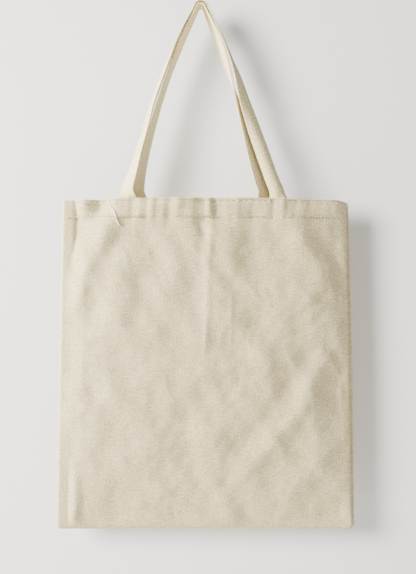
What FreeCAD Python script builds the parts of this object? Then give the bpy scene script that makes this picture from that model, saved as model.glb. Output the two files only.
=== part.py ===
"""Canvas tote bag, hanging from its two handles. Millimetres, +Z up, front towards -Y.

The origin is where a hook carries the bag: on the underside of the back handle's crown, with the front
handle's crown lying on top of it. Below it hang the mouth, the body and the bottom edge.

Five bodies are sewn together here: the side and bottom seams, the front panel and the back panel that swing
away from each other to open the mouth, and a handle on each panel that folds down over its own side.
"""
import FreeCAD, Part
import math
import os

Vector = FreeCAD.Vector

# Driving dimensions
bag_height = 402.0  # mouth edge to bottom edge
base_width = 364.0  # across the bottom corners
mouth_width = 350.0  # across the mouth, which its own opening draws in
belly_depth = 20.0  # how far the front panel stands ahead of its seams, at its fullest
mouth_depth = 16.0  # the same at the mouth
body_shift = 5.0  # the body hangs this far to the right of the hook
cloth = 1.0  # one ply of canvas
ply_gap = 0.1  # air between a panel and its hem, and between the hem and a handle's end
seam_gap = 0.3  # air between a panel and the seam edges that it swings away from
hem_height = 25.0  # depth of the turned-in hem
seam_allowance = 12.0  # width of the turned-in seam edges
handle_drop = 236.0  # mouth edge to the hook
handle_width = 25.0
handle_thickness = 2.0  # a strap folded from four thin plies
handle_shift = 3.0  # the handles' ends are sewn this far to the right of the hook
front_handle_spacing = 184.0  # between the centres of a handle's two ends
back_handle_spacing = 158.0
hook_radius = 3.0  # the bend that the straps take over the hook
crown_gap = 1.4  # between the two crowns, which lie one on the other
hinge_gap = 0.3  # between a hem's edge and the handle that rises from it
thread = 0.6  # thickness of a line of stitches
thread_gap = 0.15  # air between a line of stitches and the cloth
hem_stitch_up = 3.0  # lower stitch line, above the hem's raw edge
rim_stitch_down = 3.0  # upper stitch line, below the mouth edge
overlock_width = 1.2  # the loops that wrap the seams' raw edges
corner_gap = 0.5  # between the bottom seam's ends and the side seams
strap_stitch_in = 3.0  # a strap's two stitch lines, from its edges

# How far each handle's strap has turned out of the bag's plane, in degrees, at heights above the mouth. The
# heights stretch with the drop.
# The front handle's inner edges come forward on both legs. The back handle turns the same way round on both
# legs, so its left inner edge goes back and its right one comes forward: it is sewn in with half a twist.
front_left_turn = ((0, 0), (14, 40), (30, 62), (80, 77), (160, 85), (220, 89), (240, 90))
front_right_turn = ((0, 0), (18, 48), (60, 56), (120, 68), (170, 84), (210, 89), (240, 90))
back_left_turn = ((0, 0), (20, 22), (45, 50), (90, 71), (150, 77), (190, 84), (220, 88), (240, 90))
back_right_turn = ((0, 0), (20, 40), (60, 64), (120, 80), (160, 90), (240, 90))

# Those turns suit a strap of turn_width. Above turn_foot a wider one stands squarer to the bag, and so keeps
# clear of the other handle.
turn_width = 25.0
turn_foot = 25.0

# A tail of sewing thread hangs from the rim's stitches, left of the front handle. These are the points of
# its route, as x and the drop below the mouth, and it stands off the panel by loose_thread_off.
loose_thread = 1.2
loose_thread_off = 1.9
loose_thread_route = ((-112.2, 1.5), (-109.2, 8.2), (-105.5, 13.7), (-103.1, 19.2), (-101.5, 24.0), (-98.2, 31.4))

# Worked-out places
mouth_z = -handle_drop
bottom_z = mouth_z - bag_height
seam_half = cloth  # the seam edges are two plies, one each side of the middle plane
panel_outer = seam_half + seam_gap + cloth  # outer face of a panel at its seams, from the middle plane
end_inwards = 2 * (cloth + ply_gap)  # a handle end's outer face, behind the panel and its hem
seam_stitch_line = thread + thread_gap  # the seam's stitches lie outside its turned-in edges
overlock_in = seam_stitch_line + seam_allowance + thread_gap  # from the bag's edge to its overlocked edges
seam_reach = overlock_in + overlock_width  # from the bag's edge to the inside of its seams
FRONT, BACK = -1, 1


def half_width(z):
    """Half the bag's width at a height: the side seams run straight from the base to the mouth."""
    share = (z - bottom_z) / bag_height
    return (base_width + (mouth_width - base_width) * share) / 2


def bulge(side, x, z):
    """How far a panel stands out beyond its seams, x being measured from the body's middle. The back panel
    hangs flat."""
    if side == BACK:
        return 0.0
    across = 1 - (x / half_width(z)) ** 4
    up = (z - bottom_z) / bag_height
    belly = belly_depth + (mouth_depth - belly_depth) * up**3
    return max(0.0, across) * (1 - (1 - up) ** 4) * belly


def ply(side, left, right, low, high, inwards, thickness, columns=13, rows=13):
    """A ply of cloth that follows a panel's curve. left and right give x at a height, from the body's middle,
    and inwards is the distance of the ply's outer face from the panel's own outer face."""
    points = []
    for i in range(columns):
        column = []
        for j in range(rows):
            z = low + (high - low) * j / (rows - 1)
            x = left(z) + (right(z) - left(z)) * i / (columns - 1)
            column.append(Vector(x + body_shift, side * (panel_outer + bulge(side, x, z) - inwards), z))
        points.append(column)
    if side == BACK:
        corners = [points[0][0], points[-1][0], points[-1][-1], points[0][-1]]
        face = Part.Face(Part.makePolygon(corners + corners[:1]))
    else:
        surface = Part.BSplineSurface()
        surface.interpolate(points)
        face = surface.toShape()
    return face.extrude(Vector(0, -side * thickness, 0))


def panel(side):
    return ply(side, lambda z: -half_width(z), half_width, bottom_z, mouth_z, 0, cloth)


def hem_half_width(z):
    """A hem stops beside the seam edges."""
    return half_width(z) - seam_reach - corner_gap


def hem(side):
    """The turned-in top edge, on the panel's inner face."""
    return ply(side, lambda z: -hem_half_width(z), hem_half_width, mouth_z - hem_height, mouth_z,
               cloth + ply_gap, cloth, rows=4)


def stitch_line(side, z):
    """A straight line of stitches on a panel's outer face, as long as the hem."""
    return ply(side, lambda z: -hem_half_width(z), hem_half_width, z - thread / 2, z + thread / 2,
               -thread_gap - thread, thread, rows=4)


def handle_end(side, spacing, hand):
    """A handle's sewn end, flat against the hem's inner face and held by both of its stitch lines."""
    centre = handle_shift - body_shift + hand * spacing / 2
    return ply(side, lambda z: centre - handle_width / 2, lambda z: centre + handle_width / 2,
               mouth_z - hem_height + hem_stitch_up / 2, mouth_z - hinge_gap, end_inwards, handle_thickness,
               columns=5, rows=4)


def side_strip(hand, start, width, low, high, half_thickness):
    """A flat upright strip along a side seam. start is its distance in from the bag's edge."""
    def at(z, inwards):
        return Vector(body_shift + hand * (half_width(z) - inwards), -half_thickness, z)

    corners = [at(low, start), at(low, start + width), at(high, start + width), at(high, start)]
    return Part.Face(Part.makePolygon(corners + corners[:1])).extrude(Vector(0, 2 * half_thickness, 0))


def bottom_strip(start, width, half_thickness):
    """A flat level strip along the bottom seam, between the side seams."""
    half = half_width(bottom_z + seam_reach) - seam_reach - corner_gap
    corner = Vector(body_shift - half, -half_thickness, bottom_z + start)
    return Part.makeBox(2 * half, 2 * half_thickness, width, corner)


def turn_at(turns, height):
    """Reads a handle's turn at a height above the mouth, in radians."""
    for (low, low_turn), (high, high_turn) in zip(turns, turns[1:]):
        if height <= high * handle_drop / turns[-1][0]:
            break
    low, high = low * handle_drop / turns[-1][0], high * handle_drop / turns[-1][0]
    share = min(1.0, (height - low) / (high - low))
    from_square = 90 - low_turn - (high_turn - low_turn) * share
    squarer = 1 - (1 - (turn_width / handle_width) ** 2) * min(1.0, height / turn_foot)
    return math.radians(90 - from_square * squarer)


def strap_leg(side, hand, spacing, bend, turns, way):
    """The stations of one leg of a handle, from its foot to the middle of its crown: a point on the strap's
    middle line, the direction across its width and the direction through its thickness. bend is the radius
    of the middle line over the hook. way is 1 where the strap's right-hand edge goes back, or -1."""
    foot_x = abs(handle_shift + hand * spacing / 2)
    foot_y = side * (panel_outer + bulge(side, spacing / 2, mouth_z) - end_inwards - handle_thickness / 2)
    foot_z = mouth_z + hinge_gap
    rise = handle_width / 2  # the strap leaves the hem upright, and then leans towards the hook
    reach = math.hypot(foot_x, foot_z + rise + hook_radius)
    lean = math.atan2(foot_x, -hook_radius - foot_z - rise) - math.asin(bend / reach)
    leg = math.sqrt(reach**2 - bend**2)
    path = [(foot_x, foot_z, 0.0), (foot_x, foot_z + rise / 2, lean / 4)]
    for i in range(19):
        left_over = leg * (1 - i / 18)
        path.append((bend * math.cos(lean) + left_over * math.sin(lean),
                     -hook_radius + bend * math.sin(lean) - left_over * math.cos(lean), lean))
    for i in range(1, 6):
        turned = lean + (math.pi / 2 - lean) * i / 5
        path.append((bend * math.cos(turned), -hook_radius + bend * math.sin(turned), turned))
    stations = []
    for x, z, angle in path:
        height = z - foot_z
        turn = turn_at(turns, height)
        up = min(1.0, height / (handle_drop - hook_radius))
        along = Vector(-math.sin(angle) * hand, 0, math.cos(angle))
        across = Vector(math.cos(turn), way * math.sin(turn), 0)
        across = (across - along * across.dot(along)).normalize()
        stations.append((Vector(hand * x, foot_y * (1 - up), z), across, along.cross(across)))
    return stations


def strap_stations(side, spacing, bend, left_turns, right_turns, left_way):
    """The whole handle, from its left foot over the hook to its right foot. Both legs meet at the crown with
    the strap's width lying front to back, and the right leg is read downwards from there."""
    left = strap_leg(side, -1, spacing, bend, left_turns, left_way)
    right = strap_leg(side, 1, spacing, bend, right_turns, 1)
    down = []
    for point, across, through in right[-2::-1]:
        down.append((point, across * left_way, through * -left_way))
    return left + down


def band(stations, off_across, off_through, width, thickness):
    """A flat band along a strap, off its middle line by the two offsets."""
    wires = []
    for point, across, through in stations:
        middle = point + across * off_across + through * off_through
        corners = [middle + across * (a * width / 2) + through * (b * thickness / 2)
                   for a, b in ((-1, -1), (1, -1), (1, 1), (-1, 1))]
        wires.append(Part.makePolygon(corners + corners[:1]))
    return Part.makeLoft(wires, True, True)


def save_strap(name, stations, face):
    """A handle's free loop and the two lines of stitches along the face that shows: face is 1 or -1."""
    save(name, band(stations, 0, 0, handle_width, handle_thickness))
    across = handle_width / 2 - strap_stitch_in
    off = face * (handle_thickness / 2 + thread_gap + thread / 2)
    save(f"{name}_inner_stitching", band(stations, across, off, thread, thread))
    save(f"{name}_outer_stitching", band(stations, -across, off, thread, thread))


def round_tube(points, radius):
    """A tube along straight runs that are joined by the largest arcs that the runs allow."""
    edges = []
    start = points[0]
    for before, corner, after in zip(points, points[1:], points[2:]):
        towards = (before - corner).normalize()
        onwards = (after - corner).normalize()
        half_turn = (math.pi - towards.getAngle(onwards)) / 2
        trim = 0.45 * min(before.distanceToPoint(corner), after.distanceToPoint(corner))
        bend_radius = trim / math.tan(half_turn)
        print(f"loose_thread: arc radius {bend_radius:.1f}")
        first, last = corner + towards * trim, corner + onwards * trim
        inwards = (towards + onwards).normalize()
        middle = corner + inwards * (bend_radius / math.cos(half_turn) - bend_radius)
        edges += [Part.LineSegment(start, first).toShape(), Part.Arc(first, middle, last).toShape()]
        start = last
    edges.append(Part.LineSegment(start, points[-1]).toShape())
    path = Part.Wire(edges)
    profile = Part.Wire(Part.makeCircle(radius, points[0], points[1] - points[0]))
    tube = path.makePipeShell([profile], True, False)
    print(f"loose_thread: length {path.Length:.1f}, volume over section times length "
          f"{tube.Volume / (math.pi * radius**2 * path.Length):.3f}")
    return tube


def thread_tail():
    points = []
    for x, drop in loose_thread_route:
        z = mouth_z - drop
        y = -panel_outer - bulge(FRONT, x - body_shift, z) - loose_thread_off
        points.append(Vector(x, y, z))
    return round_tube(points, loose_thread / 2)


def save(name, shape):
    solids = shape.Solids
    assert solids and shape.isValid(), name
    shape = solids[0] if len(solids) == 1 else Part.Compound(solids)
    shape.exportStep(f"parts/{name}.step")
    print(f"{name}: {len(solids)} solid(s), {shape.Volume / 1000:.2f} cm3")


def main():
    os.makedirs("parts", exist_ok=True)
    for hand, hand_name in ((-1, "left"), (1, "right")):
        save(f"{hand_name}_side_stitching", side_strip(hand, 0, thread, bottom_z, mouth_z, seam_half))
        save(f"{hand_name}_side_seam",
             side_strip(hand, seam_stitch_line, seam_allowance, bottom_z, mouth_z, seam_half))
        save(f"{hand_name}_side_overlock",
             side_strip(hand, overlock_in, overlock_width, bottom_z, mouth_z, seam_half))
    save("bottom_stitching", bottom_strip(0, thread, seam_half))
    save("bottom_seam", bottom_strip(seam_stitch_line, seam_allowance, seam_half))
    save("bottom_overlock", bottom_strip(overlock_in, overlock_width, seam_half))
    for side, name, spacing in ((FRONT, "front", front_handle_spacing), (BACK, "back", back_handle_spacing)):
        save(f"{name}_panel", panel(side))
        save(f"{name}_hem", hem(side))
        save(f"{name}_hem_stitching", stitch_line(side, mouth_z - hem_height + hem_stitch_up))
        save(f"{name}_rim_stitching", stitch_line(side, mouth_z - rim_stitch_down))
        for hand, hand_name in ((-1, "left"), (1, "right")):
            save(f"{name}_handle_{hand_name}_end", handle_end(side, spacing, hand))
    save("loose_thread", thread_tail())
    inner_bend = hook_radius + handle_thickness / 2
    outer_bend = inner_bend + handle_thickness + crown_gap
    save_strap("front_handle", strap_stations(FRONT, front_handle_spacing, outer_bend, front_left_turn,
                                              front_right_turn, -1), -1)
    save_strap("back_handle", strap_stations(BACK, back_handle_spacing, inner_bend, back_left_turn,
                                             back_right_turn, 1), 1)


main()
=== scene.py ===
# %% [markdown]
# A canvas tote bag that hangs by its two handles from one hook. Everything is built round the design's own
# frame, in metres: the design gives the places and sizes, and this lesson makes the cloth, the straps and
# the thread that a person sees. The design's box is kept.

# %% Load the frame
import itertools
import math

import bmesh
import bpy
import numpy as np
from mathutils import Matrix, Vector, noise


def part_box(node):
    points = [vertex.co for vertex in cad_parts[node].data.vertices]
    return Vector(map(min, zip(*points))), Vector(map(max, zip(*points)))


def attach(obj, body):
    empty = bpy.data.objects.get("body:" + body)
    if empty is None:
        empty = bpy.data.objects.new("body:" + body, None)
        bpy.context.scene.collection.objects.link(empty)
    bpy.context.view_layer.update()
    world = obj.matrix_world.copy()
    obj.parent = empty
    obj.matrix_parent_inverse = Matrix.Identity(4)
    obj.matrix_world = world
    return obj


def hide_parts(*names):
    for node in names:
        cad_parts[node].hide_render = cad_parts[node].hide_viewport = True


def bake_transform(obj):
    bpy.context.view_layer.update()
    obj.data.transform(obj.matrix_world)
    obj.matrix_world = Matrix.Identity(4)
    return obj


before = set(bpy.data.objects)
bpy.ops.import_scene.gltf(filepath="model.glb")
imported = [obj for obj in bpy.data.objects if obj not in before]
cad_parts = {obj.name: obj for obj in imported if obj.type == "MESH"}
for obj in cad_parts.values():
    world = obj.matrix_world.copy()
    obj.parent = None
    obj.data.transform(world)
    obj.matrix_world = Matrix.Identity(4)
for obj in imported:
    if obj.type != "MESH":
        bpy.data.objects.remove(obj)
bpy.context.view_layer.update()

mm = 0.001


def put_in_scene(obj):
    bpy.context.scene.collection.objects.link(obj)
    return obj


# %% [markdown]
# The camera comes first, because every later choice is judged through it. It stands about an arm's length
# in front of the bag, level with the bag's middle, and looks straight at it. The lens is worked out from
# the height that the view has to cover, so that moving the camera back never changes the framing.

# %% Camera
view_height = 702 * mm
view_distance = 1.1
view_centre = Vector((8.5 * mm, 0, -343 * mm))
sensor = 36.0

camera_data = bpy.data.cameras.new("camera")
camera_data.sensor_fit = "VERTICAL"
camera_data.sensor_height = sensor
camera_data.lens = sensor * view_distance / view_height
camera = put_in_scene(bpy.data.objects.new("camera", camera_data))
camera.location = view_centre - Vector((0, view_distance, 0))
camera.rotation_euler = (math.radians(90), 0, 0)
bpy.context.scene.camera = camera
print(f"lens {camera_data.lens:.1f} mm")

# %% [markdown]
# A bag like this is seen in a bright room, next to a window: one broad soft light from the left, a weaker
# one from the right so that no side goes black, and pale light from all round. One more lamp grazes the
# bag's back, so that its folds can be seen from there, and one is kept for the wall. Area lights give the
# soft edges; a sun would draw every fold too hard. The room is brighter to the camera than to the bag,
# which keeps the backdrop pale behind an evenly lit cloth.

# %% Lights and world
def area_light(name, place, size, power, colour):
    data = bpy.data.lights.new(name, "AREA")
    data.shape = "DISK"
    data.size = size
    data.energy = power
    data.color = colour
    lamp = put_in_scene(bpy.data.objects.new(name, data))
    lamp.location = place
    towards = view_centre - Vector(place)
    lamp.rotation_euler = towards.to_track_quat("-Z", "Y").to_euler()
    return lamp


window = area_light("window", (-1.75, -0.60, 0.52), 0.6, 203.0, (1.0, 0.985, 0.94))
wall_light = area_light("wall light", (-1.02, -1.25, 0.02), 0.8, 93.0, (1.0, 0.985, 0.96))
fill = area_light("fill", (1.2, -1.6, 0.2), 1.4, 11.0, (1.0, 0.97, 0.93))
behind = area_light("behind", (-1.8, 0.8, 0.45), 0.8, 72.0, (1.0, 0.99, 0.97))

room_light = 0.36
room_to_camera = 1.5
world = bpy.data.worlds.new("room")
world.use_nodes = True
background = world.node_tree.nodes["Background"]
background.inputs["Color"].default_value = (0.97, 0.98, 1.0, 1)
background.inputs["Strength"].default_value = room_light
ray = world.node_tree.nodes.new("ShaderNodeLightPath")
strength = world.node_tree.nodes.new("ShaderNodeMapRange")
strength.inputs["To Min"].default_value = room_light
strength.inputs["To Max"].default_value = room_to_camera
world.node_tree.links.new(ray.outputs["Is Camera Ray"], strength.inputs["Value"])
world.node_tree.links.new(strength.outputs["Result"], background.inputs["Strength"])
bpy.context.scene.world = world
for lamp in (window, wall_light, fill, behind):
    print(f"{lamp.name}: {lamp.data.energy:.0f} W, {(lamp.location - view_centre).length:.2f} m away")

# %% [markdown]
# The bag hangs a little in front of a pale wall, over a pale floor. Neither is part of it. The wall is a
# plain sheet that is clear from behind, so that it catches the bag's soft shadow in front and doesn't
# hide the bag's back. It has its own lamp, by light linking, so that the shadow can be steered without
# touching the folds, and it throws no light back on the bag.

# %% Wall and floor
wall_y = 56 * mm
wall_half = 1.05
floor_z = -1.05
floor_half = 3.0


def stage_material(name, colour, clear_from_behind):
    material = bpy.data.materials.new(name)
    material.use_nodes = True
    nodes, links = material.node_tree.nodes, material.node_tree.links
    paint = nodes["Principled BSDF"]
    paint.inputs["Base Color"].default_value = colour
    paint.inputs["Roughness"].default_value = 0.9
    if clear_from_behind:
        side = nodes.new("ShaderNodeNewGeometry")
        clear = nodes.new("ShaderNodeBsdfTransparent")
        mix = nodes.new("ShaderNodeMixShader")
        links.new(side.outputs["Backfacing"], mix.inputs["Fac"])
        links.new(paint.outputs["BSDF"], mix.inputs[1])
        links.new(clear.outputs["BSDF"], mix.inputs[2])
        links.new(mix.outputs["Shader"], nodes["Material Output"].inputs["Surface"])
    return material


def stage_plane(name, half, turn, place, material):
    bm = bmesh.new()
    bmesh.ops.create_grid(bm, x_segments=1, y_segments=1, size=half)
    bmesh.ops.rotate(bm, verts=bm.verts, matrix=turn)
    bmesh.ops.translate(bm, verts=bm.verts, vec=place)
    mesh = bpy.data.meshes.new(name)
    bm.to_mesh(mesh)
    bm.free()
    plane = put_in_scene(bpy.data.objects.new(name, mesh))
    plane.data.materials.append(material)
    return plane


def link_to_wall(lamp, state):
    """INCLUDE makes the lamp light the wall alone, and EXCLUDE all but the wall."""
    group = bpy.data.collections.new(lamp.name)
    group.objects.link(wall)
    group.collection_objects[0].light_linking.link_state = state
    lamp.light_linking.receiver_collection = group


upright = Matrix.Rotation(math.radians(90), 3, "X")
level = Matrix.Identity(3)
wall = stage_plane("wall", wall_half, upright, (0, wall_y, 0),
                   stage_material("wall paint", (0.80, 0.785, 0.763, 1), True))
wall.visible_diffuse = False
wall.visible_glossy = False
wall.visible_shadow = False
link_to_wall(window, "EXCLUDE")
link_to_wall(fill, "EXCLUDE")
link_to_wall(wall_light, "INCLUDE")
stage_plane("floor", floor_half, level, (0, 0, floor_z),
            stage_material("floor paint", (0.80, 0.80, 0.79, 1), False))
print(f"wall {wall_y / mm:.0f} mm behind the hook, floor {-floor_z:.2f} m below it")

# %% [markdown]
# The cloth follows the design: its edges run straight from a wider base to the mouth, the front stands
# out in a shallow belly and the back hangs flat. These few measures all come from the design's own boxes,
# and one function then says where a point of either panel lies.

# %% Measures of the body
FRONT, BACK = -1, 1
LEFT, RIGHT = -1, 1
SIDES = ((FRONT, "front"), (BACK, "back"))
HANDS = ((LEFT, "left"), (RIGHT, "right"))
panel_low, panel_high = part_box("front_panel")
bottom, mouth = panel_low[2], panel_high[2]
middle = (panel_low[0] + panel_high[0]) / 2
base_half = (panel_high[0] - panel_low[0]) / 2
mouth_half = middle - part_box("left_side_stitching")[1][0]
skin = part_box("back_panel")[1][1]
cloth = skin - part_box("back_panel")[0][1]
ply_step = 1.1 * mm
belly = -panel_low[1] - skin
mouth_belly = -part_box("front_hem")[0][1] - skin + ply_step
hem_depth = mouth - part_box("front_hem")[0][2]
body_height = mouth - bottom
corner_radius = 6 * mm
edge_round = 3 * mm
flat_edge = 58 * mm
print(f"body {2 * base_half / mm:.0f} x {body_height / mm:.0f} mm, belly {belly / mm:.1f}, "
      f"at the mouth {mouth_belly / mm:.1f}, hem {hem_depth / mm:.0f}")


def half_width(z):
    """Half the bag's width at a height."""
    return base_half + (mouth_half - base_half) * (z - bottom) / body_height


def bulge(side, x, z):
    """How far a panel stands out, with x from the bag's middle. The belly starts slowly at the left edge."""
    if side == BACK:
        return np.zeros_like(x)
    up = np.clip((z - bottom) / body_height, 0, 1)
    across = np.clip(1 - (x / half_width(z)) ** 4, 0, 1)
    inside = np.clip((half_width(z) + x) / flat_edge, 0, 1)
    across = np.minimum(across, inside * inside * (3 - 2 * inside))
    return across * (1 - (1 - up) ** 4) * (belly + (mouth_belly - belly) * up**3)


# %% [markdown]
# Canvas that has been folded, packed and hung again keeps long soft folds and a few sharp creases. Each
# is described as a stroke: a line of a few points, how far it stands out (or in), how wide it is and how
# sharp. Strokes are easier to steer than a simulation when certain folds have to sit in certain places:
# here two folds run down from the handles to the sides, a storage crease runs down the middle, and one
# long fold curves through the lower right.

# %% Folds of the front panel
SOFT, SHARP = 2.0, 1.0
# A fold's points (x and z from the hook), its height and its half-width, all in millimetres, and its shape.
front_folds = [
    (((-116, -236), (-146, -274), (-174, -308)), -3.4, 11, SOFT),
    (((-100, -250), (-121, -290), (-145, -336), (-154, -380)), 3.8, 11, SOFT),
    (((-92, -270), (-116, -326), (-134, -392)), -1.6, 13, SOFT),
    (((98, -248), (109, -267), (133, -304), (155, -342), (166, -374)), 2.9, 12, SOFT),
    (((132, -250), (162, -302), (180, -342)), -1.2, 11, SOFT),
    (((80, -262), (101, -328), (116, -396)), -1.8, 16, SOFT),
    (((16, -250), (18, -330), (14, -400)), 1.3, 24, SOFT),
    (((64, -256), (72, -330), (66, -410)), -1.2, 22, SOFT),
    (((-4, -262), (6, -286)), -1.6, 5, SOFT),
    (((8, -234), (13, -262)), 1.6, 4.5, SOFT),
    (((4, -302), (7, -316)), 1.6, 5, SOFT),
    (((16, -314), (40, -348)), -1.5, 8, SOFT),
    (((-50, -268), (-34, -300), (-30, -350)), 1.4, 11, SOFT),
    (((11, -230), (13, -262), (9, -330), (6, -420)), 1.8, 5.5, 1.5),
    (((14, -290), (28, -318), (46, -345)), -1.2, 6, SHARP),
    (((-14, -288), (2, -310)), 1.3, 6, SOFT),
    (((36, -370), (37, -392), (35, -416)), 0.9, 2.6, SHARP),
    (((7, -388), (5, -426)), 0.8, 2.6, SHARP),
    (((104, -424), (121, -452)), 0.8, 3.0, SHARP),
    (((154, -424), (169, -452), (171, -496)), 1.1, 3.0, SHARP),
    (((148, -430), (121, -492), (84, -536), (52, -568), (33, -594)), 2.3, 11, SOFT),
    (((134, -416), (98, -478), (64, -518), (38, -544), (20, -566)), -1.9, 11, SOFT),
    (((-154, -560), (-153, -600), (-156, -640)), 3.6, 6.5, SOFT),
    (((-167, -570), (-165, -640)), -3.2, 5.5, SOFT),
    (((-136, -604), (-133, -634)), 0.9, 5, SOFT),
    (((-119, -228), (-119, -256)), -4.2, 13, SOFT),
    (((-160, -230), (-161, -280), (-163, -330)), -4.2, 8, SOFT),
    (((-60, -300), (-86, -340), (-96, -390)), 1.0, 14, SOFT),
    (((-30, -420), (-62, -462), (-78, -510)), 1.0, 15, SOFT),
    (((-96, -440), (-120, -500), (-126, -556)), 1.1, 14, SOFT),
    (((60, -400), (78, -440), (70, -480)), 1.0, 14, SOFT),
    (((-20, -540), (20, -520), (36, -498)), 0.9, 12, SOFT),
    (((100, -590), (136, -566), (160, -530)), 1.2, 13, SOFT),
]


def distance_to_line(x, z, points):
    """Distance from each point to a line of straight runs, and how far along it the nearest place is."""
    best = np.full(x.shape, 1e9)
    along = np.zeros(x.shape)
    lengths = [math.dist(a, b) for a, b in zip(points, points[1:])]
    total, done = sum(lengths), 0.0
    for (ax, az), (bx, bz), length in zip(points, points[1:], lengths):
        t = np.clip(((x - ax) * (bx - ax) + (z - az) * (bz - az)) / length**2, 0, 1)
        d = np.hypot(x - ax - t * (bx - ax), z - az - t * (bz - az))
        closer = d < best
        best = np.where(closer, d, best)
        along = np.where(closer, (done + t * length) / total, along)
        done += length
    return best, along


def strokes(x, z, folds):
    """The sum of all folds at each point, in metres. x and z are metres from the hook."""
    height = np.zeros(x.shape)
    x, z = x / mm, z / mm
    for points, peak, half, shape in folds:
        d, along = distance_to_line(x, z, points)
        ends = np.clip(np.minimum(along, 1 - along) * 5, 0, 1)
        fade = 0.35 + 0.65 * ends * ends * (3 - 2 * ends)
        height += peak * fade * np.exp(-((d / half) ** shape))
    return height * mm


def ripple(x, z, size, seed):
    """Smooth random swells of about one unit, as wide as size and a little taller."""
    tall = 1.15 * size
    swells = [noise.noise(Vector((a / size, b / tall, seed))) for a, b in zip(x.ravel(), z.ravel())]
    return np.array(swells).reshape(x.shape)


def crumple(x, z, seed):
    """The all-over unevenness of canvas that was packed: broad swells, soft ridges where it was bent, and
    small dents."""
    swells = ripple(x, z, 46 * mm, seed) * 4.0 + ripple(x + 0.4 * z, z, 24 * mm, seed + 4.6) * 2.3
    swells += ripple(x - 0.3 * z, z, 12 * mm, seed + 6.1) * 0.55
    ridges = np.exp(-((ripple(x + 0.5 * z, z, 34 * mm, seed + 9.2) / 0.09) ** 2)) * 0.45
    ridges *= np.clip(ripple(x, z, 50 * mm, seed + 2.4) * 3, 0, 1)
    dents = ripple(x, z, 5.5 * mm, seed + 13.3) * 0.15
    return (swells + ridges + dents) * mm


print(len(front_folds), "folds on the front panel")

# %% [markdown]
# The turned-in hem is two plies thick and sewn through, so it puckers: short upright waves between the
# two lines of stitches, strongest beside the handles, which end as small drops just below the lower line.
# Each line of stitches also lies in a shallow groove.

# %% Puckers of the hem
rim_drop = 3 * mm
hem_drop = 22 * mm
rim_line = mouth - rim_drop
hem_line = mouth - hem_drop
panel_columns = 92
stitches_per_half = panel_columns // 2
groove_depth = 3.0 * mm
# Each pucker is its place from the hook, its height and its half-width, in millimetres.
front_puckers = [
    (-84, -1.1, 3), (-75, 1.2, 3), (-66, -1.1, 3), (-60, 0.7, 2.5), (-54, -0.7, 2.5), (-46, 0.8, 3),
    (-38, -0.7, 3), (-29, 0.7, 3), (-20, -0.6, 3), (-11, 0.6, 3), (8, 1.0, 2.5), (15, -1.0, 2.5),
    (43, 0.8, 4), (62, -0.5, 4), (86, -1.1, 3.5), (98, 1.2, 3.5), (113, -1.0, 4), (140, 0.5, 5),
    (-104, 0.8, 5), (-128, -1.2, 8), (-143, 0.6, 4), (-155, -0.8, 5),
]
back_puckers = [
    (-120, 0.6, 5), (-92, -0.9, 3), (-80, 1.0, 3), (-64, -0.8, 3), (-40, 0.5, 4), (-12, -0.5, 4),
    (5, 0.8, 3), (30, 0.5, 4), (66, -0.8, 3), (80, 1.0, 3), (96, -0.8, 3), (130, 0.5, 5),
]


def pucker_height(x, z, puckers):
    """Upright waves of the hem, which lean a little and die out below it. x is metres from the hook."""
    below = np.clip((hem_line - z) / (14 * mm), 0, None)
    reach = np.where(z > hem_line, 1.0, np.exp(-below * 2.2))
    lean = (z - hem_line) * 0.08
    height = np.zeros(x.shape)
    for place, peak, half in puckers:
        height += peak * np.exp(-(((x - lean) / mm - place) / half) ** 2)
    return height * reach * mm * 0.85


def stitch_grooves(x, z):
    """Grooves under the two lines of stitches, deepest at the needle holes."""
    holes = 0.5 + 0.5 * np.cos(2 * math.pi * stitches_per_half * x / half_width(z))
    hem_groove = np.exp(-(((z - hem_line) / (1.3 * mm)) ** 2))
    rim_groove = np.exp(-(((z - rim_line) / (1.0 * mm)) ** 2))
    return -groove_depth * (hem_groove + 0.7 * rim_groove) * holes


print(len(front_puckers), "puckers in the front hem,", len(back_puckers), "in the back one")

# %% [markdown]
# The back of such a bag was folded and packed like the front, but it hangs flatter, so its folds are
# fewer and lower. Round both panels the seam's turned-in edges show through as a low step. Everything
# that stands out from the plain curve is then added up in one function, because the stitches, the sewn
# ends of the straps and the loose thread have to follow the same surface as the cloth.

# %% Relief of both panels
back_folds = [
    (((5, -230), (5, -420), (4, -520)), 1.2, 4.5, SHARP),
    (((-98, -250), (-128, -310), (-150, -380)), 1.8, 13, SOFT),
    (((106, -250), (134, -312), (156, -384)), 2.0, 13, SOFT),
    (((-120, -430), (-70, -500), (-20, -548)), 1.4, 13, SOFT),
    (((40, -380), (74, -450), (60, -520)), 1.3, 14, SOFT),
    (((120, -480), (90, -560), (100, -610)), 1.1, 12, SOFT),
    (((-60, -320), (-40, -390), (-58, -450)), 1.0, 14, SOFT),
]
step_in = 13 * mm
# Folds, puckers and the seed of the crumpling.
panel_relief = {FRONT: (front_folds, front_puckers, 3.1), BACK: (back_folds, back_puckers, 12.3)}


def seam_step(side, x, z):
    """The low step along both sides and the bottom, where the turned-in edges end."""
    inside = half_width(z) - np.abs(x)
    step = 0.5 * mm * (1 / (1 + np.exp((inside - step_in) / (0.8 * mm))))
    step += 0.45 * mm * (1 / (1 + np.exp((z - bottom - step_in) / (0.9 * mm))))
    return step * (1.0 if side == FRONT else 0.8)


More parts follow.
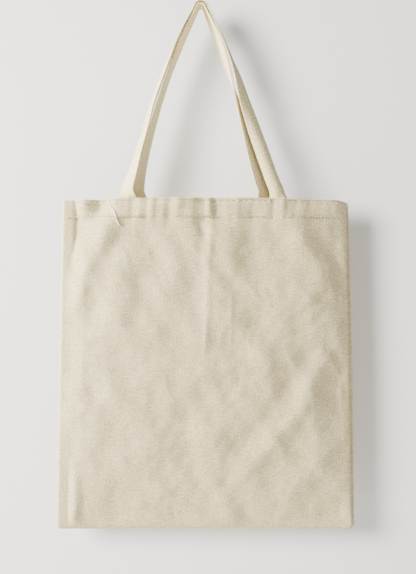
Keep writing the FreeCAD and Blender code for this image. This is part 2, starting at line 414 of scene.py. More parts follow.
def relief(side, x, z):
    """Everything that stands out from a panel's plain curve, with x from the bag's middle. It settles
    towards the edges, and sinks no further than the belly and a little slack leave room for."""
    folds, puckers, seed = panel_relief[side]
    hook_x = x + middle
    height = strokes(hook_x, z, folds) + pucker_height(hook_x, z, puckers)
    height += crumple(x, z, seed)
    height += stitch_grooves(x, z)
    inside = np.minimum(half_width(z) - np.abs(x), z - bottom)
    settle = np.clip(inside / (16 * mm), 0, 1)
    slack = 0.15 * mm + 5 * mm * np.clip(inside / (10 * mm) - 1.4, 0, 1)
    return np.maximum(height * settle, -bulge(side, x, z) * 0.8 - slack) + seam_step(side, x, z)


sample_x, sample_z = np.meshgrid(np.linspace(-mouth_half, mouth_half, 31), np.linspace(bottom, mouth, 31))
for side, side_name in SIDES:
    heights = relief(side, sample_x, sample_z) / mm
    print(f"{side_name} relief from {heights.min():.1f} to {heights.max():.1f} mm")

# %% [markdown]
# Each panel is one piece of cloth that runs up the outside, over the rim and down the inside as the hem.
# A grid gives the evenly spaced threads that cloth needs to bend. Its columns follow the bag's width and its
# rows the cloth's own length, so the map that the weave is drawn on keeps true millimetres. The panel is cut
# along its middle crease into a left and a right half.

# %% Shape of a panel
rim_radius = ply_step / 2
hem_inset = 3.2 * mm
front_tuck = 2.4 * mm
back_shows = 1.8 * mm


def rim_height(side, x):
    """The rim isn't level: it is pulled up between the handles and droops at its corners."""
    hook_x = (x + middle) / mm
    rise = 0.9 * np.exp(-((hook_x / 92) ** 4))
    droop = -1.0 * np.clip((np.abs(hook_x - 5) - 60) / 100, 0, 1)
    corner = (-4.2 if side == FRONT else -3.9) * np.exp(-(mouth_half - x) / (6 * mm))
    return (rise + droop + corner) * mm


def cloth_place(side, share, stage):
    """Where a point of a panel lies. share is 0 at the bag's middle and -1 or 1 at its edges. stage runs
    from 0 at the bottom to 1 at the rim, to 2 where the cloth has turned over, to 3 at the hem's raw edge.
    Returns x, y and z of the cloth's middle layer, and the length along the cloth."""
    top = mouth + rim_height(side, share * mouth_half) - rim_radius - cloth / 2
    outside, over, inside = np.clip(stage, 0, 1), np.clip(stage - 1, 0, 1), np.clip(stage - 2, 0, 1)
    turn = over * math.pi
    z = bottom + outside * (top - bottom) + rim_radius * np.sin(turn) - inside * hem_depth
    length = outside * (top - bottom) + rim_radius * turn + inside * hem_depth
    low_corner = np.clip(corner_radius - (z - bottom), 0, corner_radius)
    cut = corner_radius - np.sqrt(corner_radius**2 - low_corner**2)
    edge = half_width(z) - cut - hem_inset * inside
    if side == FRONT:
        # The front is drawn in at the right, where the back panel shows beside it.
        above = np.clip((z - bottom) / (20 * mm), 0.15, 1)
        edge = edge - front_tuck * np.where(share > 0, 1.0, 0.25) * above
    else:
        rounded = np.sin(math.pi * np.clip((z - bottom) / body_height, 0, 1))
        edge = edge + back_shows * np.where(share > 0, 1.0, 0.0) * rounded
    x = share * edge
    from_edge = np.clip((edge - np.abs(x)) / edge_round, 0, 1)
    from_bottom = np.clip((z - bottom) / edge_round, 0, 1)
    rounding = np.sqrt(1 - (1 - from_edge) ** 2) * np.sqrt(1 - (1 - from_bottom) ** 2)
    inwards = rim_radius * (1 - np.cos(turn))
    height = relief(side, x, z) - 2 * stitch_grooves(x, z) * inside**0.1
    y = cloth / 2 + 0.05 * mm + (skin - cloth + height - inwards) * rounding + bulge(side, x, z)
    return x + middle, side * y, z, length


corner_x, _, corner_z, _ = cloth_place(FRONT, np.array([1.0]), np.array([1.0]))
print(f"front panel's top right corner at x {corner_x[0] / mm:.0f}, z {corner_z[0] / mm:.0f} mm")

# %% Mesh of half a panel
row_step = 2.0 * mm
turn_rows = 6


def map_to_cloth(bm, on_map):
    """Writes each point's own place on the cloth, in metres, as its UV."""
    layer = bm.loops.layers.uv.new("cloth")
    for face in bm.faces:
        for loop in face.loops:
            loop[layer].uv = on_map[loop.vert]


def new_piece(name, bm, material):
    mesh = bpy.data.meshes.new(name)
    for face in bm.faces:
        face.smooth = True
    bm.to_mesh(mesh)
    bm.free()
    piece = put_in_scene(bpy.data.objects.new(name, mesh))
    piece.data.materials.append(material)
    return piece


def row_levels():
    """The stages at which the rows lie: evenly up the cloth, closer at the lines of stitches and the rim."""
    drops = list(np.arange(body_height, 27 * mm, -row_step)) + list(np.arange(26, 17, -0.75) * mm)
    drops += list(np.arange(16, 7, -1.7) * mm) + list(np.arange(6, 0, -0.75) * mm)
    outside = [1 - drop / body_height for drop in drops]
    over = [1 + i / turn_rows for i in range(turn_rows)]
    inside = [2 + drop / hem_depth for drop in np.arange(0, hem_depth / mm, 1.25) * mm] + [3.0]
    return np.array(outside + over + inside)


def panel_half(side, hand):
    """A bmesh of one half of a panel, with its hem. The middle crease stays sharp."""
    levels = row_levels()
    rows = len(levels) - 1
    bm = bmesh.new()
    bmesh.ops.create_grid(bm, x_segments=panel_columns, y_segments=rows, size=0.5)
    flat = np.array([v.co for v in bm.verts])
    share = (flat[:, 0] + 0.5) * hand
    stage = levels[np.rint((flat[:, 1] + 0.5) * rows).astype(int)]
    x, y, z, length = cloth_place(side, share, stage)
    for vert, place in zip(bm.verts, zip(x, y, z)):
        vert.co = place
    map_to_cloth(bm, dict(zip(bm.verts, zip(share * base_half, length))))
    bm.verts.index_update()
    for edge in bm.edges:
        edge.smooth = not all(abs(share[v.index]) < 1e-9 for v in edge.verts)
    if hand * side > 0:
        bmesh.ops.reverse_faces(bm, faces=bm.faces)
    return bm


print(f"half a panel: {panel_columns} columns, {len(row_levels())} rows")

# %% [markdown]
# Undyed canvas is a plain weave of thick, slightly uneven cotton threads. The weave itself is bump: two sets
# of rounded threads that pass over and under each other, drawn on the cloth's own map in true millimetres,
# and its dips between threads are also painted darker, as painted shade. Long faint streaks along the warp
# are the slubs, and the colour wanders a little between cream and grey, as cotton does. A few dark flecks of
# seed husk are left in every cheap canvas. The surface is dull, with the soft bright rim that fibres give,
# which is what sheen is for.

# %% A helper for materials
class Graph:
    """A little helper that adds nodes to a material and wires them, so that recipes stay short."""

    def __init__(self, name):
        self.material = bpy.data.materials.new(name)
        self.material.use_nodes = True
        self.nodes = self.material.node_tree.nodes
        self.links = self.material.node_tree.links
        self.shader = self.nodes["Principled BSDF"]

    def plug(self, value, socket):
        if isinstance(value, bpy.types.NodeSocket):
            self.links.new(value, socket)
        else:
            socket.default_value = value

    def add(self, kind, inputs=(), output=0, **settings):
        node = self.nodes.new(kind)
        for key, value in settings.items():
            setattr(node, key, value)
        for key, value in dict(inputs).items():
            self.plug(value, node.inputs[key])
        return node.outputs[output]

    def math(self, operation, a, b=0.0, c=0.0):
        return self.add("ShaderNodeMath", {0: a, 1: b, 2: c}, operation=operation)

    def mix(self, share, a, b, blend="MIX"):
        node = self.nodes.new("ShaderNodeMix")
        node.data_type = "RGBA"
        node.blend_type = blend
        self.plug(share, node.inputs["Factor"])
        self.plug(a, node.inputs[6])
        self.plug(b, node.inputs[7])
        return node.outputs[2]

    def ramp(self, value, low, high):
        """The value as a share from 0 at low to 1 at high."""
        inputs = {"Value": value, "From Min": low, "From Max": high}
        return self.add("ShaderNodeMapRange", inputs, clamp=True)

    def stretched(self, coordinates, scale):
        return self.add("ShaderNodeMapping", {"Vector": coordinates, "Scale": scale})

    def streaks(self, coordinates, scale, roughness):
        """Noise with so many swells to the metre across the cloth and along it."""
        place = self.stretched(coordinates, scale)
        inputs = {"Vector": place, "Scale": 1.0, "Detail": 3.0, "Roughness": roughness}
        return self.add("ShaderNodeTexNoise", inputs)


print("material helper ready")

# %% Canvas material
def woven_canvas(name, light, dark, thread_step, weave_depth, flecks):
    """Canvas with threads thread_step apart, its palest yarns light and its darkest ones dark."""
    graph = Graph(name)
    cloth_map = graph.add("ShaderNodeUVMap", uv_map="cloth")
    wobble = graph.add("ShaderNodeTexNoise", {"Vector": cloth_map, "Scale": 160.0, "Detail": 2.0}, output=1)
    bent = graph.add("ShaderNodeVectorMath", {0: wobble, 1: (0.5, 0.5, 0.5)}, operation="SUBTRACT")
    bent = graph.add("ShaderNodeVectorMath", {0: bent, "Scale": thread_step * 0.9}, operation="SCALE")
    bent = graph.add("ShaderNodeVectorMath", {0: cloth_map, 1: bent}, operation="ADD")
    split = graph.nodes.new("ShaderNodeSeparateXYZ")
    graph.links.new(bent, split.inputs[0])
    across = graph.math("SINE", graph.math("MULTIPLY", split.outputs[0], math.pi / thread_step))
    along = graph.math("SINE", graph.math("MULTIPLY", split.outputs[1], math.pi / thread_step))
    over = graph.math("MULTIPLY_ADD", graph.math("MULTIPLY", across, along), 0.5, 0.5)
    warp = graph.math("MULTIPLY", graph.math("ABSOLUTE", across), over)
    weft = graph.math("MULTIPLY", graph.math("ABSOLUTE", along), graph.math("SUBTRACT", 1.0, over))
    weave = graph.math("MAXIMUM", warp, weft)

    warp_slubs = graph.streaks(cloth_map, (700.0, 90.0, 1.0), 0.65)
    weft_slubs = graph.streaks(cloth_map, (110.0, 760.0, 1.0), 0.65)
    grain = graph.streaks(cloth_map, (720.0, 430.0, 1.0), 0.75)
    yarns = graph.math("ADD", warp_slubs, weft_slubs)

    # The yarns run from dark to light, with greyer clouds over them.
    colour = graph.mix(graph.ramp(yarns, 0.75, 1.25), dark, light)
    cloud = graph.add("ShaderNodeTexNoise", {"Vector": cloth_map, "Scale": 30.0, "Detail": 4.0})
    greyer = (light[0] * 0.96, light[1] * 0.95, light[2] * 1.02, 1)
    colour = graph.mix(graph.math("MULTIPLY", graph.ramp(cloud, 0.38, 0.72), 0.30), colour, greyer)
    # Where the threads dip, the weave is painted a fifth darker, as painted shade, and the grain goes from
    # 0.61 to 1.25 of the colour.
    painted_hollow_shade = graph.math("MULTIPLY_ADD", graph.ramp(weave, 0.0, 0.55), 0.20, 0.80)
    colour = graph.mix(1.0, colour, painted_hollow_shade, "MULTIPLY")
    tone = graph.math("MULTIPLY_ADD", graph.ramp(grain, 0.36, 0.64), 0.64, 0.61)
    colour = graph.mix(1.0, colour, tone, "MULTIPLY")
    if flecks:
        place = graph.stretched(cloth_map, (150.0, 95.0, 1.0))
        cells = graph.add("ShaderNodeTexVoronoi", {"Vector": place, "Scale": 1.0, "Randomness": 1.0})
        pick = graph.add("ShaderNodeTexNoise", {"Vector": cloth_map, "Scale": 75.0})
        small, chosen = graph.math("LESS_THAN", cells, 0.055), graph.math("GREATER_THAN", pick, 0.62)
        share = graph.math("MULTIPLY", graph.math("MULTIPLY", small, chosen), 0.5)
        colour = graph.mix(share, colour, (0.30, 0.21, 0.12, 1))
    graph.plug(colour, graph.shader.inputs["Base Color"])

    height = graph.math("ADD", graph.math("MULTIPLY", yarns, 1.6), graph.math("MULTIPLY", grain, 1.8))
    height = graph.math("ADD", height, weave)
    bump = graph.add("ShaderNodeBump", {"Height": height, "Strength": 0.8, "Distance": weave_depth})
    graph.plug(bump, graph.shader.inputs["Normal"])
    graph.shader.inputs["Roughness"].default_value = 0.92
    graph.shader.inputs["Specular IOR Level"].default_value = 0.2
    graph.shader.inputs["Sheen Weight"].default_value = 0.25
    graph.shader.inputs["Sheen Roughness"].default_value = 0.55
    graph.shader.inputs["Sheen Tint"].default_value = (1.0, 0.97, 0.90, 1)
    return graph.material


canvas = woven_canvas("canvas", (0.90, 0.765, 0.435, 1), (0.64, 0.52, 0.265, 1), 0.72 * mm, 0.20 * mm, True)
# The straps are the bag's own canvas, painted brighter and warmer than the panels: painted light, for the
# window's light on them and the warm light bounced between them.
strap_canvas_painted_light = woven_canvas("strap canvas", (0.99, 0.84, 0.46, 1), (0.82, 0.66, 0.32, 1), 0.60 * mm,
                            0.18 * mm, False)
for cloth_material in (canvas, strap_canvas_painted_light):
    print(cloth_material.name, "has", len(cloth_material.node_tree.nodes), "nodes")

# %% [markdown]
# Sewing thread is two fine plies twisted round each other, with a little fuzz. On stitches a millimetre
# thick the twist is only just seen, so slanting bands on the object's own coordinates are enough, and no
# map is needed. The loose tail is the palest, and the cheap overlock thread inside is the greyest.

# %% Thread materials
thread_depth = 0.05 * mm


def spun_thread(name, light, dark):
    graph = Graph(name)
    place = graph.nodes.new("ShaderNodeTexCoord").outputs["Object"]
    inputs = {"Vector": place, "Scale": 420.0, "Distortion": 1.5, "Detail": 1.0}
    bands = graph.add("ShaderNodeTexWave", inputs, bands_direction="DIAGONAL")
    fuzz = graph.add("ShaderNodeTexNoise", {"Vector": place, "Scale": 2500.0, "Detail": 2.0})
    graph.plug(graph.mix(bands, dark, light), graph.shader.inputs["Base Color"])
    height = graph.math("ADD", bands, fuzz)
    bump = graph.add("ShaderNodeBump", {"Height": height, "Strength": 0.5, "Distance": thread_depth})
    graph.plug(bump, graph.shader.inputs["Normal"])
    graph.shader.inputs["Roughness"].default_value = 0.75
    graph.shader.inputs["Sheen Weight"].default_value = 0.3
    return graph.material


thread = spun_thread("sewing thread", (0.97, 0.92, 0.78, 1), (0.88, 0.80, 0.62, 1))
white_thread = spun_thread("loose thread", (1.0, 0.93, 0.70, 1), (0.98, 0.90, 0.66, 1))
overlock_thread = spun_thread("overlock thread", (0.86, 0.84, 0.78, 1), (0.74, 0.71, 0.63, 1))
print("threads:", thread.name, "/", white_thread.name, "/", overlock_thread.name)

# %% [markdown]
# Now the four half panels are made. A Solidify modifier turns the sheet into cloth of real thickness.


def blend_from_seam(piece):
    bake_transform(piece)


def give_thickness(piece):
    solid = piece.modifiers.new("cloth", "SOLIDIFY")
    solid.thickness = cloth * 0.95
    solid.offset = 0


for side, side_name in SIDES:
    for hand, hand_name in HANDS:
        piece = new_piece(f"{side_name}_panel_{hand_name}", panel_half(side, hand), canvas)
        give_thickness(piece)
        blend_from_seam(piece)
        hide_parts(f"{side_name}_panel", f"{side_name}_hem")
        print(piece.name, len(piece.data.polygons), "faces")

# %% [markdown]
# Stitches are small plump beads of thread, one for each time the needle comes up. They lie on the cloth
# as it really is, folds and puckers included, so each one is placed from two nearby points of the
# surface.

# %% Beads of thread
def first_beads(bm, count):
    """The first so many vertices with the edges and faces between them."""
    verts = bm.verts[:count]
    kept = set(verts)
    edges = [e for e in bm.edges if e.verts[0] in kept]
    return verts + edges + [f for f in bm.faces if f.verts[0] in kept]


def beads(stitches):
    """A bmesh of stitches. Each is (start, end, out, width, depth), with out the way that it stands up. One
    bead is made, copied by doubling, and every copy is then laid in its place."""
    bm = bmesh.new()
    bmesh.ops.create_uvsphere(bm, u_segments=6, v_segments=5, radius=0.5)
    size, copies = len(bm.verts), 1
    while copies < len(stitches):
        more = min(copies, len(stitches) - copies)
        bmesh.ops.duplicate(bm, geom=first_beads(bm, more * size))
        copies += more
    matrices = []
    for start, end, out, width, depth in stitches:
        along = end - start
        across = along.cross(out).normalized()
        lift = across.cross(along).normalized()
        turn = Matrix((along, across * width, lift * depth)).transposed().to_4x4()
        matrices.append(Matrix.Translation((start + end) / 2) @ turn)
    for i, vert in enumerate(bm.verts):
        vert.co = matrices[i // size] @ vert.co
    return bm


hem_pitch = mouth_half / stitches_per_half
print(f"hem stitches every {hem_pitch / mm:.1f} mm")

# %% Stitches of the hems
hem_lift = 0.3 * mm
hem_bead = (1.25 * mm, 1.2 * mm)


def cloth_points(side, hook_x, drops, inner=False, lift=0.0):
    """Points on a panel's outer or inner face, so far below the rim, for places well inside the seams."""
    x = np.asarray(hook_x, dtype=float) - middle
    drops = np.broadcast_to(np.asarray(drops, dtype=float), x.shape)
    outside_length = body_height + rim_height(side, x)
    stage = 2 + drops / hem_depth if inner else 1 - drops / outside_length
    x, y, z, _ = cloth_place(side, x / mouth_half, stage)
    off = -cloth / 2 - lift if inner else cloth / 2 + lift
    return [Vector(p) for p in zip(x, y + side * off, z)]


def stitch_row(side, hand, drop, inner):
    """The stitches of half a line, each between two needle holes."""
    places = (np.arange(stitches_per_half - 2) + 0.5) * hem_pitch
    wobble = np.array([0.25 * mm * noise.noise(Vector((p * 90 * hand, drop * 500, side))) for p in places])
    half = hem_pitch * 0.27
    starts = cloth_points(side, middle + hand * (places - half), drop + wobble, inner, hem_lift)
    ends = cloth_points(side, middle + hand * (places + half), drop + wobble * 0.6, inner, hem_lift)
    out = Vector((0, -side if inner else side, 0))
    return [(a, b, out, *hem_bead) for a, b in zip(starts, ends)]


for side, side_name in SIDES:
    for hand, hand_name in HANDS:
        for line, drop in (("rim", rim_drop), ("hem", hem_drop)):
            bm = beads(stitch_row(side, hand, drop, False) + stitch_row(side, hand, drop, True))
            row = new_piece(f"{side_name}_{line}_stitches_{hand_name}", bm, thread)
            blend_from_seam(row)
            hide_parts(f"{side_name}_{line}_stitching")
    print(side_name, "hem stitches made")

# %% [markdown]
# Each handle is one strap: four plies folded to 25 mm and sewn along both edges. It rises from inside the
# hem, turns as it goes, and runs over the hook with its width lying front to back. Its two ends are flat
# against the inside of the hem. A curve with a bevel can't turn and cup as a strap does, so the path is a
# list of stations, each with its place, the way across the strap, the way through it, the length so far
# and how far the strap is curled there.

# %% Path of the handles
half_strap = 12.5
strap_width = 2 * half_strap * mm
strap_thick = 2 * mm
strap_shift = 3 * mm
half_spacing = {FRONT: 92 * mm, BACK: 79 * mm}
crown_radius = {FRONT: 7.4 * mm, BACK: 4.0 * mm}
hook_radius = 3 * mm
end_depth = 24 * mm
foot_inset = 2.2 * mm
station_step = 2.2 * mm
# Each leg has three tables against the height above the mouth, in millimetres: how far the strap has turned
# out of the bag's plane and how far its edges curl back, in degrees, and how far the leg bows to the right.
strap_turns = {
    (FRONT, LEFT): ((0, 26), (8, 44), (22, 57), (60, 66), (100, 72), (156, 75), (195, 81), (238, 90)),
    (FRONT, RIGHT): ((0, 8), (8, 18), (60, 22), (95, 40), (120, 54), (148, 67), (168, 78), (205, 83),
                     (238, 90)),
    (BACK, LEFT): ((0, 36), (8, 54), (22, 68), (46, 72), (80, 78), (120, 82), (156, 84), (193, 79),
                   (215, 82), (238, 90)),
    (BACK, RIGHT): ((0, 14), (8, 34), (22, 40), (60, 56), (118, 74), (148, 92), (168, 106), (200, 108),
                    (222, 98), (238, 90)),
}
strap_curls = {
    (FRONT, LEFT): ((0, 0), (30, 0), (60, -14), (115, -26), (190, -22), (226, 0)),
    (FRONT, RIGHT): ((0, 62), (5, 86), (70, 84), (110, 52), (150, 10), (238, 0)),
    (BACK, LEFT): ((0, 0), (238, 0)),
    (BACK, RIGHT): ((0, 0), (238, 0)),
}
strap_bows = {
    (FRONT, LEFT): ((12, 0), (30, -0.5), (83, -3.5), (120, -6.4), (156, -6.4), (193, -6), (217, -4),
                    (235, 0)),
    (FRONT, RIGHT): ((0, 0), (12, -1.8), (22, -2), (60, 0), (100, 3), (150, 5), (193, 5.4), (217, 3),
                     (235, 0)),
    (BACK, LEFT): ((12, 0), (22, -1.5), (46, -5.5), (80, -7.6), (120, -9), (156, -8.8), (193, -6.6),
                   (217, -3), (235, 0)),
    (BACK, RIGHT): ((0, 0), (12, -3.6), (22, -4.2), (60, -3.4), (118, 1.0), (150, 2), (193, 2.8),
                    (217, 1), (235, 0)),
}


def smooth(table, height):
    """Reads a table with its corners softened."""
    heights, values = zip(*table)
    spread = min(8.0, max(0.0, height / mm))
    near = [np.interp(height / mm + spread * shift, heights, values) for shift in (-1, -0.5, 0, 0.5, 1)]
    return sum(near) / 5


def leg_path(side, hand):
    """x, z and lean of one leg, as if it were the right one: up from its sewn end, out of the rim in a bend,
    straight towards the hook, and round the crown to the top."""
    bend = crown_radius[side]
    foot_x = abs(strap_shift + hand * half_spacing[side])
    rise = strap_width / 2
    reach = math.hypot(foot_x, mouth + rise + hook_radius)
    lean = math.atan2(foot_x, -hook_radius - mouth - rise) - math.asin(bend / reach)
    leg = math.sqrt(reach**2 - bend**2)
    path = [(foot_x, mouth - end_depth + i * 2 * mm, 0.0) for i in range(12)]
    path += [(foot_x, mouth, 0.0), (foot_x, mouth + rise * 0.25, lean * 0.1)]
    path.append((foot_x, mouth + rise / 2, lean / 4))
    runs = round(leg / station_step)
    for i in range(runs + 1):
        left = leg * (1 - i / runs)
        x = bend * math.cos(lean) + left * math.sin(lean)
        path.append((x, -hook_radius + bend * math.sin(lean) - left * math.cos(lean), lean))
    for i in range(1, 11):
        angle = lean + (math.pi / 2 - lean) * i / 10
        path.append((bend * math.cos(angle), -hook_radius + bend * math.sin(angle), angle))
    return path


def strap_leg(side, hand):
    """Stations of one leg from its sewn end to the crown: place, across, through, length so far and curl."""
    # The edge that comes forward as a leg turns is the right one on the front handle's left leg and the left
    # one on the others, so the back handle has a half twist.
    way = -1 if (side, hand) == (FRONT, LEFT) else 1
    foot_bulge = float(bulge(side, np.array([half_spacing[side]]), np.array([mouth]))[0])
    foot_y = side * (skin + foot_bulge - foot_inset - strap_thick / 2)
    stations, length, last = [], 0.0, None
    for x, z, angle in leg_path(side, hand):
        height = z - mouth
        free = 1 if height > 0 else 0
        turn = math.radians(smooth(strap_turns[side, hand], height)) * free
        curl = math.radians(smooth(strap_curls[side, hand], height)) * free
        bow = smooth(strap_bows[side, hand], height) * mm * free
        up = min(1.0, max(0.0, height / (-mouth - hook_radius)))
        along = Vector((-math.sin(angle) * hand, 0, math.cos(angle)))
        across = Vector((math.cos(turn), way * math.sin(turn), 0))
        across = (across - along * across.dot(along)).normalized()
        place = Vector((hand * x + bow, foot_y * (1 - up), z))
        length += (place - last).length if last else 0.0
        last = place
        stations.append([place, across, along.cross(across), length, curl])
    return stations


def strap_stations(side):
    """Both legs as one strap: up the left one and down the right one, whose stations are turned round."""
    left, right = strap_leg(side, LEFT), strap_leg(side, RIGHT)
    way = -1 if side == FRONT else 1
    whole = left[-1][3] + right[-1][3]
    down = [[place, across * way, through * -way, whole - length, curl]
            for place, across, through, length, curl in right[-2::-1]]
    return left + down


def follow_hem(side, place, u):
    """How far the hem's own puckers move the sewn end of a strap."""
    height = (place.z - mouth) / mm
    share = 1.0 if height < -4 else max(0.0, 1 - (height + 4) / 16)
    if share == 0:
        return 0.0
    x = np.array([place.x + u - middle])
    z = np.array([min(place.z, mouth - 3 * mm)])
    return side * share * float(relief(side, x, z)[0])


handles = [(side, side_name, strap_stations(side)) for side, side_name in SIDES]
for side, side_name, stations in handles:
    print(f"{side_name} handle {stations[-1][3] / mm:.0f} mm long")

# %% [markdown]
# The strap itself is a ring of points carried along those stations, thin at its folded edges and dimpled
# where the two lines of stitches pull it in. The ring closes all round and is filled at both ends, so the
# strap is solid like the four pressed plies of the real one, and a subdivision smooths it.

# %% Straps
stitch_line = 9.5
# Where one face has its points across the strap, closer together at the folds and the stitches.
half_profile = (-12.5, -12.35, -11.9, -11.1, -10.3, -9.5, -8.7, -7, -4.5, -1.5,
                1.5, 4.5, 7, 8.7, 9.5, 10.3, 11.1, 11.9, 12.35, 12.5)


def strap_half_thickness(u, length, face):
    """Half the strap's thickness at u across it: rounded edges, and grooves under the stitches."""
    edge = min(1.0, max(0.0, (half_strap - abs(u)) / 1.1))
    plain = math.sqrt(1 - (1 - edge) ** 2)
    groove = 0.24 * math.exp(-(((abs(u) - stitch_line) / 0.9) ** 2))
    swell = 0.10 * noise.noise(Vector((u / 7, length / mm / 9, face * 5.3)))
    return strap_thick / 2 * (plain - groove + swell * plain)


def on_strap(side, station, u, face, lift=0.0):
    """A point on a strap's face, u millimetres across it, and the way that the face looks."""
    place, across, through, length, curl = station
    back_way = 1 if through.y > 0 else -1
    radius = half_strap / (curl if abs(curl) > 1e-4 else 1e-4)
    angle = u / radius
    back = radius * (1 - math.cos(angle))
    looks = through * math.cos(angle) - across * (back_way * math.sin(angle))
    thick = strap_half_thickness(u, length, face) if abs(u) < half_strap else 0.0
    sway = 0.45 * mm * noise.noise(Vector((length * 22, side * 3.7, 0.0)))
    point = place + across * (radius * math.sin(angle) * mm) + through * (back_way * back * mm)
    point += looks * (face * (thick + lift) + sway)
    point.y += follow_hem(side, place, across.x * u * mm)
    return point, looks * face


def strap_mesh(side, stations):
    ring = [(u, 1) for u in half_profile] + [(u, -1) for u in half_profile[-2:0:-1]] + [(half_profile[0], 1)]
    columns, rows = len(ring) - 1, len(stations) - 1
    bm = bmesh.new()
    bmesh.ops.create_grid(bm, x_segments=columns, y_segments=rows, size=0.5)
    around = [0.0]
    for (u, _), (v, _) in zip(ring, ring[1:]):
        around.append(around[-1] + max(abs(u - v), 0.4) * mm)
    on_map = {}
    for vert in bm.verts:
        column, row = round((vert.co.x + 0.5) * columns), round((vert.co.y + 0.5) * rows)
        vert.co, _ = on_strap(side, stations[row], *ring[column])
        on_map[vert] = (around[column], stations[row][3])
    map_to_cloth(bm, on_map)
    bmesh.ops.remove_doubles(bm, verts=bm.verts, dist=1e-7)
    bmesh.ops.holes_fill(bm, edges=bm.edges, sides=len(ring))
    bmesh.ops.recalc_face_normals(bm, faces=bm.faces)
    return bm


def blend_at_rim(piece):
    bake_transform(piece)


for side, side_name, stations in handles:
    strap = new_piece(f"{side_name}_strap", strap_mesh(side, stations), strap_canvas_painted_light)
    soft = strap.modifiers.new("soft", "SUBSURF")
    soft.levels = soft.render_levels = 1
    blend_at_rim(strap)
    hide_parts(*(f"{side_name}_handle{part}" for part in ("", "_left_end", "_right_end")))
    print(strap.name, len(strap.data.polygons), "faces")

# %% [markdown]
# Both edges of a strap are sewn down from end to end, 3 mm in. The stitches show on both faces, so each
# is one bead above the cloth and one below, laid in the groove that the strap's shape already has.

# %% Stitches of the straps
strap_pitch = 3 * mm
strap_stitch = 2.35 * mm
strap_bead = (0.7 * mm, 0.5 * mm)


def strap_stitches(side, stations, u):
    """A line of stitches u millimetres across a strap, on both its faces."""
    lengths = [station[3] for station in stations]

    def at(length, face):
        row = min(max(int(np.searchsorted(lengths, length)), 1), len(stations) - 1)
        low, high = stations[row - 1], stations[row]
        share = (length - low[3]) / (high[3] - low[3])
        between = [low[i].lerp(high[i], share) for i in range(3)]
        between += [low[i] + (high[i] - low[i]) * share for i in (3, 4)]
        return on_strap(side, between, u, face, 0.08 * mm)

    found = []
    for place in np.arange(strap_pitch / 2, lengths[-1] - strap_pitch, strap_pitch):
        for face in (1, -1):
            start, looks = at(place, face)
            end, _ = at(place + strap_stitch, face)
            found.append((start, end, looks, *strap_bead))
    return beads(found)


for side, side_name, stations in handles:
    for u, line in ((stitch_line, "right"), (-stitch_line, "left")):
        bm = strap_stitches(side, stations, u)
        row = new_piece(f"{side_name}_strap_stitches_{line}", bm, thread)
        blend_at_rim(row)
        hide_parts(f"{side_name}_handle_inner_stitching", f"{side_name}_handle_outer_stitching")
        print(row.name, len(row.data.polygons), "faces")

# %% [markdown]
# Inside, the side and bottom seams are open to view when the mouth is. Two raw edges lie together, sewn
# near the bag's edge and bound with an overlock thread that loops round them. All three seams are
# straight, so one small class holds where a seam runs, and the plies, the stitches and the loops are laid
# out along it.

# %% Where the seams run
allowance_in = 2.6 * mm
allowance_reach = 12.6 * mm
seam_start = 14 * mm
seam_top = mouth - 26.5 * mm


class Seam:
    """A straight seam: the x and z of its rows, and a function that steps in from the bag's edge at one."""

    def __init__(self, name, line, place):
        self.name = name
        self.line = line
        self.place = place
        steps = (math.dist(a, b) for a, b in zip(line, line[1:]))
        self.lengths = [0.0, *itertools.accumulate(steps)]

    def point(self, length, inward, y):
        """The point so far along the seam, so far in from the bag's edge, and at y."""
        (ax, az), (bx, bz) = self.line[0], self.line[-1]
        share = length / self.lengths[-1]
        x, z = self.place((ax + (bx - ax) * share, az + (bz - az) * share), inward)
        return Vector((x, y, z))


def side_place(hand):
    return lambda point, inward: (middle + hand * (half_width(point[1]) - inward), point[1])


def bottom_place(point, inward):
    return point[0], bottom + inward


side_line = [(0.0, float(z)) for z in np.linspace(bottom + seam_start, seam_top, 150)]
bottom_ends = (middle - base_half + seam_start, middle + base_half - seam_start)
bottom_line = [(float(x), bottom) for x in np.linspace(*bottom_ends, 140)]
seams = [Seam("left_side", side_line, side_place(LEFT)), Seam("right_side", side_line, side_place(RIGHT)),
         Seam("bottom", bottom_line, bottom_place)]
for seam in seams:
    print(f"{seam.name} seam {seam.lengths[-1] / mm:.0f} mm long")

# %% Seams
ply_middle = 0.52 * mm
overlock_step = 3.2 * mm
overlock_reach = 5 * mm
seam_pitch = 3 * mm
seam_stitch = 2.3 * mm


def seam_ply(seam, y):
    """One ply of a seam's turned-in edge. It frays and waves a little, most at its raw edge."""
    rows = len(seam.line) - 1
    bm = bmesh.new()
    bmesh.ops.create_grid(bm, x_segments=6, y_segments=rows, size=0.5)
    on_map = {}
    for vert in bm.verts:
        across = vert.co.x + 0.5
        row = round((vert.co.y + 0.5) * rows)
        length = seam.lengths[row]
        inward = allowance_in + across * (allowance_reach - allowance_in)
        inward += across * 0.5 * mm * noise.noise(Vector((length * 60, y * 900, 2.0)))
        wave = 0.12 * mm * across * noise.noise(Vector((length * 45, 5.0, 1.0)))
        x, z = seam.place(seam.line[row], inward)
        vert.co = (x, y + wave, z)
        on_map[vert] = (inward, length)
    map_to_cloth(bm, on_map)
    if y > 0:
        bmesh.ops.reverse_faces(bm, faces=bm.faces)
    return bm


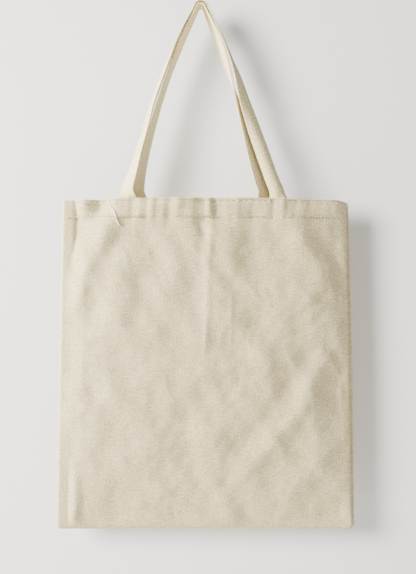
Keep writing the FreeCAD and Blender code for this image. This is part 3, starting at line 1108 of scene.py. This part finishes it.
def overlock_loops(seam):
    """Loops round the raw edges: two slanting stitches on each face, and one over the edge."""
    face_y = 1.05 * mm
    edge_in = allowance_reach + 0.3 * mm
    inwards = seam.point(0, 1, 0) - seam.point(0, 0, 0)
    found = []
    start = 1.5 * mm
    while start + overlock_step < seam.lengths[-1]:
        tips = [seam.point(start + overlock_step / 2, edge_in, y) for y in (-face_y, face_y)]
        for y, tip in zip((-face_y, face_y), tips):
            out = Vector((0, y, 0)).normalized()
            low = seam.point(start, edge_in - overlock_reach, y)
            high = seam.point(start + overlock_step, edge_in - overlock_reach, y)
            found += [(low, tip, out, 0.6 * mm, 0.4 * mm), (tip, high, out, 0.5 * mm, 0.4 * mm)]
        found.append((*tips, inwards, 0.7 * mm, 0.7 * mm))
        start += overlock_step
    return beads(found)


def seam_stitches(seam):
    found = []
    start = 1.0 * mm
    while start + seam_pitch < seam.lengths[-1]:
        for y in (-1.08 * mm, 1.08 * mm):
            ends = [seam.point(at, allowance_in + 1.2 * mm, y) for at in (start, start + seam_stitch)]
            found.append((*ends, Vector((0, y, 0)), 0.6 * mm, 0.3 * mm))
        start += seam_pitch
    return beads(found)


def keep_in_frame(piece, node):
    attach(piece, "seam_frame")
    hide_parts(node)


for seam in seams:
    name = seam.name
    for y, ply_name in ((-ply_middle, "front"), (ply_middle, "back")):
        ply = new_piece(f"{name}_{ply_name}_allowance", seam_ply(seam, y), canvas)
        give_thickness(ply)
        keep_in_frame(ply, f"{name}_seam")
    row = new_piece(f"{name}_seam_stitches", seam_stitches(seam), thread)
    keep_in_frame(row, f"{name}_stitching")
    loops = new_piece(f"{name}_overlock_loops", overlock_loops(seam), overlock_thread)
    keep_in_frame(loops, f"{name}_overlock")
    print(name, "seam made")

# %% [markdown]
# One tail of sewing thread was never trimmed. It starts in the rim's stitches left of the front handle
# and hangs down across the hem, resting on the folds. Its points are its place from the hook and its drop
# below the rim, in millimetres, and a curve with a round bevel makes the cord from them.

# %% Loose thread
tail_thick = 1.7 * mm
tail_lift = 0.95 * mm
tail_route = ((-112.4, 1.5), (-111.6, 4.2), (-109.8, 8.4), (-105.0, 13.7), (-102.6, 19.0), (-102.0, 24.0),
              (-98.0, 31.4))
tail_x, tail_drops = zip(*((x * mm, drop * mm) for x, drop in tail_route))
tail_points = cloth_points(FRONT, tail_x, tail_drops, lift=tail_lift)

tail_data = bpy.data.curves.new("loose_thread_tail", "CURVE")
tail_data.dimensions = "3D"
tail_data.bevel_depth = tail_thick / 2
tail_data.bevel_resolution = 3
tail_data.use_fill_caps = True
tail_data.resolution_u = 8
spline = tail_data.splines.new("NURBS")
spline.points.add(len(tail_points) - 1)
for point, place in zip(spline.points, tail_points):
    point.co = (*place, 1)
spline.order_u = 3
spline.use_endpoint_u = True
tail_data.materials.append(white_thread)

tail = put_in_scene(bpy.data.objects.new("loose_thread_tail", tail_data))
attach(tail, "front_panel")
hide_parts("loose_thread")
